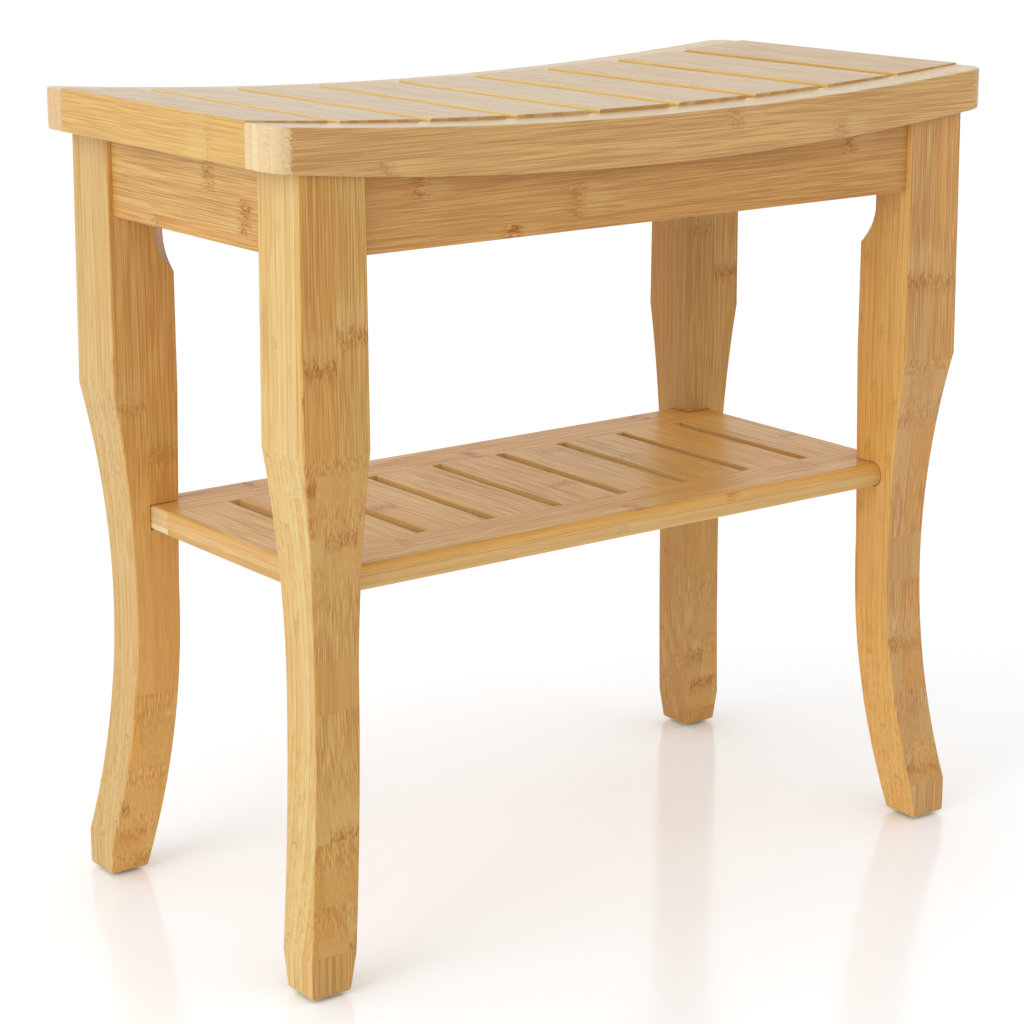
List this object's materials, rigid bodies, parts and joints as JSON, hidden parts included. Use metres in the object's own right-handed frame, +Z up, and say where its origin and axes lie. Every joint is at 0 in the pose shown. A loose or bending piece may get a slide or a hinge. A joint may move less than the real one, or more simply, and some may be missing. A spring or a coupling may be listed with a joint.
{
  "type": "shower stool",
  "caption": "Rectangular bamboo shower stool with a dished slatted seat, curved square legs and a slatted lower shelf.",
  "frame": {"origin": "on the floor, under the middle of the stool", "axes": "+X along the length, +Y towards the rear, +Z up"},
  "size_m": [0.5, 0.2466, 0.4699],
  "materials": {
    "seat_bamboo": "laminated bamboo, satin clear lacquer",
    "frame_bamboo": "laminated bamboo, satin clear lacquer",
    "shelf_bamboo": "laminated bamboo, satin clear lacquer",
    "dowel_wood": "bare turned wood",
    "steel": "zinc-plated",
    "brass": "plain",
    "glide_plastic": "matt moulded"
  },
  "bodies": {
    "root": {"front_seat_rail": "seat_bamboo", "rear_seat_rail": "seat_bamboo", "seat_end_board_left": "seat_bamboo", "seat_end_board_right": "seat_bamboo", "seat_slat_1": "seat_bamboo", "seat_slat_2": "seat_bamboo", "seat_slat_3": "seat_bamboo", "seat_slat_4": "seat_bamboo", "seat_slat_5": "seat_bamboo", "seat_slat_6": "seat_bamboo", "seat_slat_7": "seat_bamboo", "seat_slat_dowels": "dowel_wood", "seat_frame_dowels": "dowel_wood", "front_apron": "frame_bamboo", "rear_apron": "frame_bamboo", "left_apron": "frame_bamboo", "right_apron": "frame_bamboo", "leg_front_left": "frame_bamboo", "corner_block_front_left": "frame_bamboo", "foot_glide_front_left": "glide_plastic", "leg_front_right": "frame_bamboo", "corner_block_front_right": "frame_bamboo", "foot_glide_front_right": "glide_plastic", "leg_rear_left": "frame_bamboo", "corner_block_rear_left": "frame_bamboo", "foot_glide_rear_left": "glide_plastic", "leg_rear_right": "frame_bamboo", "corner_block_rear_right": "frame_bamboo", "foot_glide_rear_right": "glide_plastic", "leg_bolts": "steel", "leg_bolt_washers": "steel", "leg_inserts": "brass", "corner_block_screws": "steel", "foot_glide_nails": "steel", "shelf_front_rail": "shelf_bamboo", "shelf_rear_rail": "shelf_bamboo", "shelf_end_board_left": "shelf_bamboo", "shelf_end_board_right": "shelf_bamboo", "shelf_slat_1": "shelf_bamboo", "shelf_slat_2": "shelf_bamboo", "shelf_slat_3": "shelf_bamboo", "shelf_slat_4": "shelf_bamboo", "shelf_slat_5": "shelf_bamboo", "shelf_slat_6": "shelf_bamboo", "shelf_slat_7": "shelf_bamboo", "shelf_slat_dowels": "dowel_wood", "shelf_corner_dowels": "dowel_wood"}
  },
  "joints": []
}
